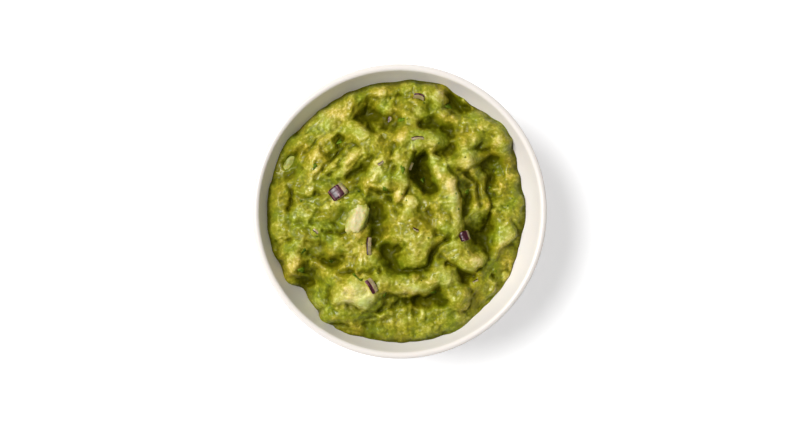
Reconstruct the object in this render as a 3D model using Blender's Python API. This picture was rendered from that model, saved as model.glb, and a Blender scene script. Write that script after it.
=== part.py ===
"""Guacamole heaped in a small round porcelain bowl, with diced red onion and two chunks of avocado.

Metres, +Z up. The origin is at the centre of the foot ring, on the surface that the bowl stands on.
Sizes are written in millimetres and turned into metres by MM.
"""

import math
from collections import namedtuple

import bmesh
import bpy
from mathutils import Matrix, Vector, noise

MM = 0.001

# The bowl: a shell between two concentric spheres, with a round lip and a foot ring.
RIM_RADIUS = 60.0 * MM
BOWL_HEIGHT = 48.0 * MM
WALL = 3.0 * MM
WALL_SLOPE = math.radians(70)  # of the wall at the lip, from the horizontal
FOOT_RADIUS = 27.0 * MM
FOOT_WIDTH = 3.2 * MM
FOOT_BEVEL = 0.6 * MM
FOOT_TOP_RADIUS = 28.2 * MM
FOOT_TOP = 8.6 * MM
RECESS_HEIGHT = 2.4 * MM
RECESS_SLOPE = 1.2 * MM
FOOT_FLARE = 31.0 * MM  # where the foot has run out into the round of the bowl
BOWL_TURNS = 56

LIP_RADIUS = WALL / 2
LIP_CENTRE = Vector((RIM_RADIUS - LIP_RADIUS, 0, BOWL_HEIGHT - LIP_RADIUS))
SPHERE_CENTRE_Z = LIP_CENTRE.z + LIP_CENTRE.x / math.tan(WALL_SLOPE)
MID_SPHERE = math.hypot(LIP_CENTRE.x, SPHERE_CENTRE_Z - LIP_CENTRE.z)
INNER_SPHERE = MID_SPHERE - LIP_RADIUS
OUTER_SPHERE = MID_SPHERE + LIP_RADIUS

# The guacamole: a low crown, folded and hollowed by the spoon.
WALL_GAP = 0.3 * MM
CROWN_Z = 46.0 * MM
GRID_CELLS = 48
SIDE_RINGS = 5
LUMP_SIZE = 5.5 * MM
LUMP_HEIGHT = 1.1 * MM
WANDER_SIZE = 9.0 * MM
WANDER = 1.6 * MM
EDGE_FADE = 6.0 * MM  # folds die out this near the wall
FOLD_SPREAD = 1.3  # of a fold's half width
FOLD_RISE = 0.85  # of a fold's rise, once its neighbours have settled against it
SOFTENING = 0.5
SOFTENINGS = 2

# How far below the lip the guacamole meets the wall, by the angle from +X in degrees.
FILL_DROP = {0: 11.8, 10: 12.5, 18: 12.0, 29: 9.2, 33: 6.4, 40: 5.8, 47: 8.6, 56: 10.4, 63: 8.8,
             71: 6.4, 82: 7.6, 95: 9.5, 116: 9.8, 136: 10.3, 150: 7.0, 163: 7.9, 180: 7.4, 197: 6.8,
             205: 8.8, 211: 6.9, 219: 13.4, 229: 10.8, 235: 6.0, 244: 7.0, 256: 9.2, 274: 8.6,
             295: 8.0, 309: 10.8, 330: 11.2, 342: 12.8}

# A fold is a rounded ridge of mash along a path, in millimetres. Its flank that faces the compass
# angle `steep`, in degrees from +X, falls away faster than the other one, unless that is None.
Fold = namedtuple("Fold", "path half_width rise steep")
FOLDS = (
    # the peak, left by the spoon as it was drawn up, and the mound that leans on it
    Fold(((-23, 16), (-16, 25), (-7, 31), (5, 34)), 5.0, 7.0, -45),
    Fold(((-2, 33), (6, 32), (13, 29)), 5.5, 8.5, 90),
    Fold(((-9, 26), (-8, 12)), 7.0, 8.0, None),
    Fold(((3, 28), (2.5, 18), (1, 10)), 5.0, 8.5, 0),
    Fold(((5, 27), (14, 26)), 5.5, 7.0, -90),
    Fold(((-2, 4), (8, 2), (14, -2)), 6.0, 3.5, None),
    # the curl that runs from beside the peak towards the front
    Fold(((17, 19), (20, 11), (21.5, 3), (23, -6)), 6.0, 7.5, 0),
    Fold(((22, 22), (27, 18), (31, 20)), 4.5, 5.5, -60),
    Fold(((33, 14), (35, 4), (33, -2)), 4.0, 5.0, 0),
    Fold(((4, -8), (10, -12), (8, -19)), 7.0, 6.5, -45),
    Fold(((18, -12), (23, -17)), 4.5, 5.5, -45),
    # lumps and flat spoonfuls against the back wall
    Fold(((27, 27), (32, 29)), 4.5, 6.0, -30),
    Fold(((33, 34), (40, 32), (44, 28)), 5.5, 4.5, None),
    Fold(((20, 38), (28, 35)), 4.5, 4.5, None),
    Fold(((3, 48), (11, 48)), 4.5, 4.5, -90),
    Fold(((14, 49), (17, 45)), 4.0, 5.5, -20),
    Fold(((-4, 42), (7, 40)), 4.5, 4.0, None),
    Fold(((-14, 48), (-3, 48)), 4.0, 4.5, -90),
    Fold(((-36, 31), (-28, 38), (-18, 43)), 8.5, 5.0, -45),
    Fold(((-19, 35), (-14, 31)), 5.5, 7.5, 60),
    # the left side, smeared in long strokes
    Fold(((-38, 8), (-33, 18), (-27, 26), (-20, 29)), 4.5, 5.5, -45),
    Fold(((-30, 12), (-20, 18), (-14, 22)), 6.5, 5.0, None),
    Fold(((-38, 0), (-30, 1), (-24, 2)), 6.0, 5.0, None),
    Fold(((-43, -3), (-41, 10), (-37, 20)), 4.0, 4.5, 180),
    Fold(((-49, 6), (-48, -6)), 5.0, 4.0, None),
    Fold(((-43, -15), (-44, -22)), 4.5, 5.0, None),
    Fold(((-38, -10), (-30, -11)), 6.0, 4.5, -90),
    Fold(((-16, 2), (-18, -8)), 5.5, 6.0, 0),
    Fold(((-24, -15), (-15, -15), (-11, -20)), 6.0, 6.5, -20),
    # spoonfuls at the front, each lapping over the one below it
    Fold(((-21, -33), (-12, -35)), 9.5, 9.5, -75),
    Fold(((-31, -42), (-20, -44), (-9, -42)), 5.0, 3.5, -90),
    Fold(((-33, -30), (-31, -38)), 4.0, 4.0, 0),
    Fold(((-3, -31), (10, -32)), 5.0, 6.5, -80),
    Fold(((26, -17), (31, -22)), 5.5, 7.0, -50),
    Fold(((15, -25), (21, -28)), 5.5, 5.5, -30),
    Fold(((23, -33), (26, -37)), 4.5, 6.0, -60),
    Fold(((32, -28), (37, -32)), 4.0, 4.0, -30),
    Fold(((-6, -48), (8, -48)), 4.5, 2.2, None),
    Fold(((14, -46), (22, -43)), 4.0, 2.0, None),
    # the low shoulder on the right
    Fold(((40, -13), (46, -9)), 4.0, 4.5, 0),
    Fold(((44, 14), (47, 2)), 4.0, 2.0, None),
)

# A hollow is a groove or a pit with the same kind of path, in millimetres.
Hollow = namedtuple("Hollow", "path half_width depth")
HOLLOWS = (
    Hollow(((10, 21), (9, 14), (12, 10)), 3.2, 10.0),
    Hollow(((13, 36), (19, 32)), 4.0, 3.0),
    Hollow(((-14, 40), (-9, 37), (-4, 36)), 4.5, 4.5),
    Hollow(((-25, 28), (-24, 30)), 2.0, 3.0),
    Hollow(((34, 26), (36, 18), (35, 8)), 6.0, 4.5),
    Hollow(((33, -4), (34, -14)), 5.5, 6.0),
    Hollow(((29, 12), (28, 2)), 3.0, 3.0),
    Hollow(((22, 46), (25, 43)), 5.0, 4.0),
    Hollow(((17, 24), (21, 25)), 3.5, 4.0),
    Hollow(((-9, 2), (-8, -8)), 4.0, 2.5),
    Hollow(((-4, -15), (-2, -21)), 4.5, 4.0),
    Hollow(((-39, -26), (-37, -24)), 3.5, 3.0),
    Hollow(((-30, -20), (-27, -21)), 3.0, 3.0),
    Hollow(((8, -36), (16, -36)), 3.5, 4.0),
    Hollow(((27, -28), (28, -27)), 3.0, 3.0),
    Hollow(((-10, 7), (-4, 6)), 3.0, 3.0),
)

# What is pressed into the mash: centre across the bowl, whole size, turn about Z and lean about
# the piece's own X, in millimetres and degrees. Its middle lies `sink` below the surface there.
Topping = namedtuple("Topping", "name centre size turn lean sink")
ONION_DICE = (
    Topping("onion_dice_left", (-24.8, 7.8), (5.4, 7.4, 4.6), 126, 2, 0.4),
    Topping("onion_dice_right", (26.2, -10.1), (3.9, 4.3, 3.6), 107, -6, 0.8),
)
AVOCADO_CHUNKS = (
    Topping("avocado_chunk_middle", (-17.0, -3.2), (8.6, 13.8, 7.0), -20, 0, 0.9),
    Topping("avocado_chunk_edge", (-44.6, 19.4), (6.4, 10.0, 5.0), -33, 0, 1.7),
)
DICE_BEVEL = 0.5 * MM
POCKET_GAP = 0.35 * MM


def clear_scene():
    for item in list(bpy.data.objects):
        bpy.data.objects.remove(item)


def material(name, colour, roughness):
    """A moulded or moist surface without metal, of one colour."""
    made = bpy.data.materials.new(name)
    made.use_nodes = True
    shader = made.node_tree.nodes["Principled BSDF"]
    shader.inputs["Base Color"].default_value = (*colour, 1)
    shader.inputs["Roughness"].default_value = roughness
    return made


def add_object(name, mesh_maker, surface):
    """An object in the scene from a bmesh, shaded smooth but for its sharp edges."""
    mesh = bpy.data.meshes.new(name)
    bmesh.ops.recalc_face_normals(mesh_maker, faces=mesh_maker.faces)
    mesh_maker.to_mesh(mesh)
    mesh_maker.free()
    mesh.materials.append(surface)
    mesh.shade_smooth()
    mesh.set_sharp_from_angle(angle=math.radians(50))
    made = bpy.data.objects.new(name, mesh)
    bpy.context.scene.collection.objects.link(made)
    return made


def arc(centre, radius, start, end, steps):
    """Points in the XZ plane on an arc, its angles in radians from +X towards +Z."""
    turns = [start + (end - start) * k / steps for k in range(steps + 1)]
    return [centre + radius * Vector((math.cos(a), 0, math.sin(a))) for a in turns]


def sphere_angle(radius, across):
    """The angle, below the horizontal, at which a wall sphere is this far from the bowl's axis."""
    return -math.acos(across / radius)


def bowl_profile():
    """The bowl's half section, from the axis under the foot, out, over the lip and in to the axis."""
    middle = Vector((0, 0, SPHERE_CENTRE_Z))
    lip_turn = WALL_SLOPE - math.pi / 2
    foot_inside = FOOT_RADIUS - FOOT_WIDTH
    underside = [
        Vector((0, 0, RECESS_HEIGHT)),
        Vector((foot_inside - RECESS_SLOPE, 0, RECESS_HEIGHT)),
        Vector((foot_inside - FOOT_BEVEL / 2, 0, FOOT_BEVEL)),
        Vector((foot_inside, 0, 0)),
        Vector((FOOT_RADIUS - FOOT_BEVEL, 0, 0)),
        Vector((FOOT_RADIUS, 0, FOOT_BEVEL)),
        Vector((FOOT_TOP_RADIUS, 0, FOOT_TOP)),
    ]
    outside = arc(middle, OUTER_SPHERE, sphere_angle(OUTER_SPHERE, FOOT_FLARE), lip_turn, 7)
    lip = arc(LIP_CENTRE, LIP_RADIUS, lip_turn, lip_turn + math.pi, 6)
    inside = arc(middle, INNER_SPHERE, lip_turn, -math.pi / 2, 8)
    return underside + outside + lip[1:-1] + inside


def make_bowl(glaze):
    shape = bmesh.new()
    points = [shape.verts.new(p) for p in bowl_profile()]
    edges = [shape.edges.new(pair) for pair in zip(points, points[1:])]
    bmesh.ops.spin(shape, geom=points + edges, cent=(0, 0, 0), axis=(0, 0, 1),
                   angle=math.tau, steps=BOWL_TURNS, use_merge=True)
    bmesh.ops.remove_doubles(shape, verts=shape.verts, dist=0.01 * MM)
    return add_object("bowl", shape, glaze)


def wall_radius(z):
    """How far the guacamole's side is from the axis at a height, just inside the bowl's wall."""
    inside = INNER_SPHERE - WALL_GAP
    return math.sqrt(max(0.0, inside**2 - (SPHERE_CENTRE_Z - z) ** 2))


def contact_height(angle):
    """The height at which the guacamole meets the wall, eased between the directions of FILL_DROP."""
    degrees = math.degrees(angle) % 360
    marks = sorted(FILL_DROP) + [360]
    after = next(k for k, mark in enumerate(marks) if mark > degrees)
    low, high = marks[after - 1], marks[after]
    share = (1 - math.cos(math.pi * (degrees - low) / (high - low))) / 2
    drop = FILL_DROP[low] + (FILL_DROP[high % 360] - FILL_DROP[low]) * share
    return BOWL_HEIGHT - drop * MM


def from_path(place, path):
    """The shortest way from a path, given in millimetres, to a place across the bowl."""
    corners = [Vector(corner) * MM for corner in path]
    ways = []
    for start, end in zip(corners, corners[1:]):
        along = (place - start).dot(end - start) / (end - start).length_squared
        ways.append(place - start.lerp(end, min(1.0, max(0.0, along))))
    return min(ways, key=lambda way: way.length)


def bump(distance, half_width):
    """1 on the path, falling to 0 at the half width with a rounded shoulder."""
    share = min(1.0, distance / half_width)
    return (1 - share * share) ** 1.5


def fold_height(place, fold):
    way = from_path(place, fold.path)
    distance = way.length
    if fold.steep is not None and distance > 0:
        towards = Vector((math.cos(math.radians(fold.steep)), math.sin(math.radians(fold.steep))))
        distance *= 1 + 0.9 * max(0.0, way.normalized().dot(towards))
    share = min(1.0, distance / (FOLD_SPREAD * fold.half_width * MM))
    return FOLD_RISE * fold.rise * MM * (1 - share * share)


def surface_height(place, rim_share, contact):
    """The top of the guacamole: the crown, with the highest fold laid on it and hollows taken out."""
    seed = Vector((place.x, place.y, 0))
    drift = noise.noise_vector(seed / WANDER_SIZE)
    place = place + Vector((drift.x, drift.y)) * WANDER
    crown = contact + (CROWN_Z - contact) * (1 - rim_share**2)
    raised = max(fold_height(place, fold) for fold in FOLDS)
    sunk = max(hollow.depth * MM * bump(from_path(place, hollow.path).length,
                                        hollow.half_width * 1.3 * MM) for hollow in HOLLOWS)
    lumps = LUMP_HEIGHT * noise.noise(seed / LUMP_SIZE)
    from_wall = (1 - rim_share) * RIM_RADIUS
    fade = 1 - math.exp(-((from_wall / EDGE_FADE) ** 2) * 2.5)
    return crown + (raised - sunk + lumps) * fade


def shape_top(shape):
    """Spreads a flat square grid over the round of the bowl and lifts it to the heap's surface."""
    for vert in shape.verts:
        x, y = vert.co.x, vert.co.y
        across = Vector((x * math.sqrt(1 - y * y / 2), y * math.sqrt(1 - x * x / 2)))
        share = min(1.0, across.length)
        angle = math.atan2(across.y, across.x)
        contact = contact_height(angle)
        place = across * wall_radius(contact)
        vert.co = (place.x, place.y, surface_height(place, share, contact))
    loose = [vert for vert in shape.verts if not vert.is_boundary]
    for _ in range(SOFTENINGS):
        bmesh.ops.smooth_vert(shape, verts=loose, factor=SOFTENING,
                              use_axis_x=False, use_axis_y=False, use_axis_z=True)


def close_underside(shape):
    """Carries the heap's edge down the bowl's wall, ring by ring, to a point on the axis."""
    rim = [edge for edge in shape.edges if edge.is_boundary]
    rim_verts = {vert for edge in rim for vert in edge.verts}
    inside = INNER_SPHERE - WALL_GAP
    slopes = {vert: math.asin((SPHERE_CENTRE_Z - vert.co.z) / inside) for vert in rim_verts}
    starts = {vert: (math.atan2(vert.co.y, vert.co.x), slope) for vert, slope in slopes.items()}
    for ring in range(1, SIDE_RINGS + 1):
        made = bmesh.ops.extrude_edge_only(shape, edges=rim)["geom"]
        lower = [item for item in made if isinstance(item, bmesh.types.BMVert)]
        moved = {}
        for vert in lower:
            above = next(edge.other_vert(vert) for edge in vert.link_edges
                         if edge.other_vert(vert) in starts)
            angle, slope = starts[above]
            turn = slope + (math.pi / 2 - slope) * ring / SIDE_RINGS
            across = inside * math.cos(turn)
            vert.co = (across * math.cos(angle), across * math.sin(angle),
                       SPHERE_CENTRE_Z - inside * math.sin(turn))
            moved[vert] = (angle, slope)
        starts = moved
        rim = [item for item in made if isinstance(item, bmesh.types.BMEdge)]
    bmesh.ops.remove_doubles(shape, verts=list(starts), dist=0.01 * MM)


def make_guacamole(mash):
    shape = bmesh.new()
    bmesh.ops.create_grid(shape, x_segments=GRID_CELLS, y_segments=GRID_CELLS, size=1)
    shape_top(shape)
    close_underside(shape)
    return add_object("guacamole", shape, mash)


def height_at(guacamole, centre):
    """The height of the heap's surface over a place given in millimetres."""
    above = Vector((*centre, 100)) * MM
    hit, place, _, _ = guacamole.ray_cast(above, Vector((0, 0, -1)))
    return place.z if hit else CROWN_Z


def placing(guacamole, topping):
    x, y = topping.centre
    z = height_at(guacamole, topping.centre) - topping.sink * MM
    turn = Matrix.Rotation(math.radians(topping.turn), 4, "Z")
    lean = Matrix.Rotation(math.radians(topping.lean), 4, "X")
    return Matrix.Translation((x * MM, y * MM, z)) @ turn @ lean


def die_shape(topping, extra):
    """A knife-cut block, bevelled on every edge, grown on all sides by `extra`."""
    shape = bmesh.new()
    bmesh.ops.create_cube(shape, size=1)
    whole = [side * MM + 2 * extra for side in topping.size]
    bmesh.ops.scale(shape, vec=whole, verts=shape.verts)
    bmesh.ops.bevel(shape, geom=list(shape.edges), offset=DICE_BEVEL, offset_type="OFFSET",
                    segments=1, profile=0.5, affect="EDGES", material=-1)
    return shape


def chunk_shape(topping, extra):
    """A soft, uneven oval lump, grown on all sides by `extra`."""
    shape = bmesh.new()
    bmesh.ops.create_icosphere(shape, subdivisions=2, radius=0.5)
    for vert in shape.verts:
        vert.co *= 1 + 0.10 * noise.noise(vert.co * 3.1 + Vector(topping.centre).to_3d())
    whole = [side * MM + 2 * extra for side in topping.size]
    bmesh.ops.scale(shape, vec=whole, verts=shape.verts)
    return shape


def set_in(guacamole, topping, shape_maker, surface):
    """Makes one topping and the pocket that it is pressed into."""
    place = placing(guacamole, topping)
    piece = add_object(topping.name, shape_maker(topping, 0), surface)
    cutter = add_object(topping.name + "_pocket", shape_maker(topping, POCKET_GAP), surface)
    for item in (piece, cutter):
        item.matrix_world = place
    cutter.hide_render = True
    cutter.display_type = "WIRE"
    return cutter


def cut_pocket(guacamole, cutter):
    pocket = guacamole.modifiers.new(cutter.name, "BOOLEAN")
    pocket.operation = "DIFFERENCE"
    pocket.object = cutter


def main():
    clear_scene()
    glaze = material("glazed_porcelain", (0.84, 0.81, 0.77), 0.18)
    mash = material("mashed_avocado", (0.36, 0.38, 0.06), 0.42)
    onion = material("red_onion", (0.22, 0.04, 0.08), 0.3)
    flesh = material("avocado_flesh", (0.66, 0.62, 0.24), 0.4)
    make_bowl(glaze)
    guacamole = make_guacamole(mash)
    bpy.context.view_layer.update()
    cutters = [set_in(guacamole, topping, die_shape, onion) for topping in ONION_DICE]
    cutters += [set_in(guacamole, topping, chunk_shape, flesh) for topping in AVOCADO_CHUNKS]
    for cutter in cutters:
        cut_pocket(guacamole, cutter)


main()
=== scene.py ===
"""A bowl of guacamole on a white table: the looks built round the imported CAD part.

The row frame is in metres, +Z up, with the origin under the middle of the bowl's foot. Sizes are
written in millimetres and turned into metres by MM.
"""

import math
from collections import namedtuple

import bmesh
import bpy
import numpy as np
from mathutils import Matrix, Vector, noise


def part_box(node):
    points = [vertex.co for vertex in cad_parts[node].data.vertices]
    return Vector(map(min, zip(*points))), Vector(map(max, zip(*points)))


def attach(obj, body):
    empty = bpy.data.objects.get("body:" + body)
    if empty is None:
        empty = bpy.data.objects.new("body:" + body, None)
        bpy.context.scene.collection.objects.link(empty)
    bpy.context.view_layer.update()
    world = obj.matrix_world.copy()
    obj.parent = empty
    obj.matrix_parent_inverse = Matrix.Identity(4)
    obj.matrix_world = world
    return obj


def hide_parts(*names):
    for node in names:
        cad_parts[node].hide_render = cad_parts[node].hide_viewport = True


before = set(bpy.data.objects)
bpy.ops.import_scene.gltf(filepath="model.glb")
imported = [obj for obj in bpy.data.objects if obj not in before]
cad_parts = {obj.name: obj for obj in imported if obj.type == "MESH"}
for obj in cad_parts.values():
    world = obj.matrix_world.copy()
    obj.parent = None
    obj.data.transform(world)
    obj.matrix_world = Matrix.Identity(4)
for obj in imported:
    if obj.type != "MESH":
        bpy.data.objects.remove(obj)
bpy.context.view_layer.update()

MM = 0.001

BOWL_LOW, BOWL_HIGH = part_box("bowl")
RIM_RADIUS = (BOWL_HIGH.x - BOWL_LOW.x) / 2
RIM_Z = BOWL_HIGH.z


# ---------------------------------------------------------------------------------- helpers


def hex_colour(text):
    """An sRGB hex colour as linear RGBA."""
    parts = [int(text[k:k + 2], 16) / 255 for k in (0, 2, 4)]
    linear = [p / 12.92 if p <= 0.04045 else ((p + 0.055) / 1.055) ** 2.4 for p in parts]
    return (*linear, 1.0)


def add_node(tree, kind, settings=None, **inputs):
    """One shader node. An input is a constant for its socket, or the output socket to link to it."""
    made = tree.nodes.new(kind)
    for name, value in (settings or {}).items():
        setattr(made, name, value)
    for name, value in inputs.items():
        socket = made.inputs[int(name[1:]) if name[0] == "_" else name.replace("_", " ")]
        if isinstance(value, bpy.types.NodeSocket):
            tree.links.new(value, socket)
        else:
            socket.default_value = value
    return made


def new_material(name):
    """An empty material: its tree, its Principled shader, and Object coordinates in metres."""
    made = bpy.data.materials.new(name)
    made.use_nodes = True
    tree = made.node_tree
    shader = tree.nodes["Principled BSDF"]
    place = add_node(tree, "ShaderNodeTexCoord").outputs["Object"]
    return made, tree, shader, place


def noise_node(tree, place, size_mm, detail=2.0, roughness=0.5):
    """Noise whose blotches are about size_mm across."""
    return add_node(tree, "ShaderNodeTexNoise", Vector=place, Scale=1 / (size_mm * MM),
                    Detail=detail, Roughness=roughness).outputs["Fac"]


def ramp(tree, value, *stops):
    """A colour ramp over (position, hex colour) stops."""
    made = add_node(tree, "ShaderNodeValToRGB", Fac=value)
    elements = made.color_ramp.elements
    while len(elements) < len(stops):
        elements.new(0.5)
    for element, (position, colour) in zip(elements, stops):
        element.position = position
        element.color = hex_colour(colour)
    return made.outputs["Color"]


def map_range(tree, value, low, high, to_low, to_high):
    """A value eased from the span low..high onto the span to_low..to_high."""
    made = add_node(tree, "ShaderNodeMapRange", {"interpolation_type": "SMOOTHSTEP"}, Value=value,
                    From_Min=low, From_Max=high, To_Min=to_low, To_Max=to_high)
    return made.outputs["Result"]


def mix(tree, share, first, second, blend="MIX"):
    """Blends two colours, or a socket and a hex colour."""
    made = add_node(tree, "ShaderNodeMix", {"data_type": "RGBA", "blend_type": blend})
    for socket, value in ((made.inputs["Factor"], share), (made.inputs[6], first),
                          (made.inputs[7], second)):
        if isinstance(value, bpy.types.NodeSocket):
            tree.links.new(value, socket)
        else:
            socket.default_value = hex_colour(value) if isinstance(value, str) else value
    return made.outputs[2]


def add_object(name, mesh_maker, surfaces, smooth=True):
    """An object at the origin from a bmesh, its normals turned outwards."""
    mesh = bpy.data.meshes.new(name)
    bmesh.ops.recalc_face_normals(mesh_maker, faces=mesh_maker.faces)
    mesh_maker.to_mesh(mesh)
    mesh_maker.free()
    for surface in surfaces:
        mesh.materials.append(surface)
    if smooth:
        mesh.shade_smooth()
    made = bpy.data.objects.new(name, mesh)
    bpy.context.scene.collection.objects.link(made)
    return made


# ---------------------------------------------------------------------------------- the bowl

WALL = 3.0 * MM
WALL_SLOPE = math.radians(70)
LIP_RADIUS = WALL / 2
LIP_X = RIM_RADIUS - LIP_RADIUS
LIP_Z = RIM_Z - LIP_RADIUS
SPHERE_Z = LIP_Z + LIP_X / math.tan(WALL_SLOPE)
MID_SPHERE = math.hypot(LIP_X, SPHERE_Z - LIP_Z)
INNER_SPHERE = MID_SPHERE - LIP_RADIUS
OUTER_SPHERE = MID_SPHERE + LIP_RADIUS
FOOT_RADIUS = 27.0 * MM
FOOT_WIDTH = 3.2 * MM
FOOT_ROUND = 0.8 * MM
FOOT_TOP_RADIUS = 28.2 * MM
FOOT_TOP = 8.6 * MM
FOOT_FLARE = 31.0 * MM
RECESS_HEIGHT = 2.4 * MM
RECESS_ROUND = 1.2 * MM
RECESS_SLOPE = 2.0 * MM
OUTSIDE_STEPS = 36
LIP_STEPS = 14
INSIDE_STEPS = 40
CORNER_STEPS = 4
BOWL_TURNS = 192


def arc(x, z, radius, start, end, steps):
    """Points along an arc round (x, z) in the bowl's half section."""
    turns = [start + (end - start) * k / steps for k in range(steps + 1)]
    return [Vector((x + radius * math.cos(a), 0, z + radius * math.sin(a))) for a in turns]


def bowl_profile():
    """The bowl's half section, from the axis under the foot, out, over the lip and in again."""
    lip_turn = WALL_SLOPE - math.pi / 2
    foot_inside = FOOT_RADIUS - FOOT_WIDTH
    recess_edge = foot_inside - RECESS_SLOPE
    underside = [Vector((0, 0, RECESS_HEIGHT)), Vector((recess_edge, 0, RECESS_HEIGHT))]
    underside += arc(recess_edge, RECESS_HEIGHT - RECESS_ROUND, RECESS_ROUND,
                     math.pi / 2, 0, CORNER_STEPS)[1:]
    underside += arc(foot_inside + FOOT_ROUND, FOOT_ROUND, FOOT_ROUND,
                     math.pi, math.pi * 1.5, CORNER_STEPS)
    underside += arc(FOOT_RADIUS - FOOT_ROUND, FOOT_ROUND, FOOT_ROUND,
                     -math.pi / 2, 0, CORNER_STEPS)
    flare = -math.acos(FOOT_FLARE / OUTER_SPHERE)
    neck = [Vector((FOOT_TOP_RADIUS - 0.5 * MM, 0, FOOT_TOP - 3 * MM)),
            Vector((FOOT_TOP_RADIUS, 0, FOOT_TOP)),
            Vector((FOOT_TOP_RADIUS + 1.0 * MM, 0, FOOT_TOP + 1.7 * MM))]
    outside = arc(0, SPHERE_Z, OUTER_SPHERE, flare, lip_turn, OUTSIDE_STEPS)
    lip = arc(LIP_X, LIP_Z, LIP_RADIUS, lip_turn, lip_turn + math.pi, LIP_STEPS)
    inside = arc(0, SPHERE_Z, INNER_SPHERE, lip_turn, -math.pi / 2, INSIDE_STEPS)
    return underside + neck + outside + lip[1:-1] + inside


def glazed_porcelain():
    """Porcelain under a clear glaze: a warm white with a smooth gloss, a little darker over the lip,
    where a painted shade dims the top of the lip."""
    made, tree, shader, place = new_material("glazed_porcelain")
    tone = ramp(tree, noise_node(tree, place, 30.0), (0.35, "f7f0ed"), (0.65, "faf4f1"))
    height = add_node(tree, "ShaderNodeSeparateXYZ", Vector=place).outputs["Z"]
    # Painted shade: the top of the lip is mixed towards a darker white.
    lip_painted_shade = map_range(tree, height, RIM_Z - 1.6 * MM, RIM_Z - 0.4 * MM, 0.0, 1.0)
    tone = mix(tree, lip_painted_shade, tone, "f0e9e2")
    tree.links.new(tone, shader.inputs["Base Color"])
    shader.inputs["Roughness"].default_value = 0.22
    shader.inputs["IOR"].default_value = 1.52
    shader.inputs["Specular IOR Level"].default_value = 0.3
    shader.inputs["Subsurface Weight"].default_value = 0.08
    shader.inputs["Subsurface Scale"].default_value = 1.5 * MM
    shader.inputs["Subsurface Radius"].default_value = (1.0, 0.8, 0.6)
    return made


def make_bowl():
    """The bowl, turned from its half section."""
    shape = bmesh.new()
    points = [shape.verts.new(p) for p in bowl_profile()]
    edges = [shape.edges.new(pair) for pair in zip(points, points[1:])]
    bmesh.ops.spin(shape, geom=points + edges, cent=(0, 0, 0), axis=(0, 0, 1),
                   angle=math.tau, steps=BOWL_TURNS, use_merge=True)
    bmesh.ops.remove_doubles(shape, verts=shape.verts, dist=0.005 * MM)
    bowl = add_object("porcelain_bowl", shape, [glazed_porcelain()])
    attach(bowl, "root")
    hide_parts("bowl")


# ---------------------------------------------------------------------------------- the heap

# The shape of the heap is worked out in millimetres.
HEAP_WIDTH = 106.0
HEAP_CELLS = 308
HEAP_CELL = HEAP_WIDTH / HEAP_CELLS
HEAP_INTO_WALL = 0.4 * MM
HEAP_SPHERE = INNER_SPHERE + HEAP_INTO_WALL
SKIRT_RINGS = 3
CROWN_Z = 46.0 * MM

# Folds and hollows wander off their paths by up to so much, in waves about so wide.
WANDER = 1.9
WANDER_SIZE = 8.0
SHIVER = 0.9
SHIVER_SIZE = 3.2

# The fill line ripples.
RIPPLE = 0.9
RIPPLE_SIZE = 5.0

# How wide and how high a fold comes out, once its neighbours have settled against it.
FOLD_SPREAD = 1.3
FOLD_RISE = 0.85
FOLD_FLAT = 0.25  # of its half width, level along its path
FOLD_STEEP = 2.6  # how much faster its steep flank falls
FOLD_GENTLE = 0.25  # how much slower its other flank falls
FOLD_UNEVEN = 0.35
FOLD_UNEVEN_SIZE = 6.5
HOLLOW_SPREAD = 1.3
CREASE_SPREAD = 1.6

# Relief fades out over this far from the wall, in folds and in lumps.
FOLDS_FADE = 3.6
LUMPS_FADE = 1.6

# Folds that sink below, or stand out of, what is around them by more than this are pressed back,
# and so are lumps.
GROOVE_REACH = 6.0
GROOVE_DEPTH = 3.2
PROUD_REACH = 5.0
PROUD = 2.6
LUMPS_REACH = 3.0
LUMPS_PROUD = 1.8

# The outlines of lumps are bent by up to BEND. Each kind of roughness has a height and a size.
BEND = 0.7
BEND_SIZE = 2.2
GRIT = 0.26
GRIT_SIZE = 1.7
FINE_GRIT = 0.16
FINE_GRIT_SIZE = 0.9
SWELL = 0.5
SWELL_SIZE = 4.5
TORN = 0.9
TORN_SIZE = 4.2

# Some stretches of the mash are lumpier than others.
LUMPY = 0.7
LUMPY_CHANGE = 0.9
LUMPY_SIZE = 13.0
LUMPY_SPAN = (0.25, 1.2)
COARSE_RISE = 0.75
FINE_RISE = 0.8

# How far the last softening of the surface and of its pallor reaches.
SMOOTHING = 0.3

# Painted shade in the clefts: how far around a place the mash counts, and how far under its mean
# the cleft is full and its painted shade darkest. The corner by the wall gets painted shade too.
THIN_CLEFT = (0.9, 0.4)
NEAR_CLEFT = (2.0, 1.4)
WIDE_REACH = 7.0
WIDE_CLEFT = 3.3
WALL_CORNER = 2.5
NARROW_SHADE = 0.3
WIDE_SHADE = 0.85

# Lumps this high, and folds that stand this far out of the mash around them, show all their pallor.
# A lump's pallor is partly its own paler flesh and partly painted light that grows with its height.
# What stands out of the mash gets painted light, and what lies below it gets painted shade.
COARSE_PALE = 2.5
FINE_PALE = 0.9
PAINTED_LIGHT_HEIGHT = 5.0

# How far below the lip the guacamole meets the wall, by the angle from +X in degrees.
FILL_DROP = {0: 11.8, 10: 12.5, 18: 12.0, 29: 9.2, 33: 6.4, 40: 5.8, 47: 8.6, 56: 10.4, 63: 8.8,
             71: 6.4, 82: 7.6, 95: 9.5, 116: 9.8, 136: 10.3, 150: 7.0, 163: 7.9, 180: 7.4, 197: 6.8,
             205: 8.8, 211: 6.9, 219: 13.4, 229: 10.8, 235: 6.0, 244: 7.0, 256: 9.2, 274: 8.6,
             295: 8.0, 309: 10.8, 330: 11.2, 342: 12.8}

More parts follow.
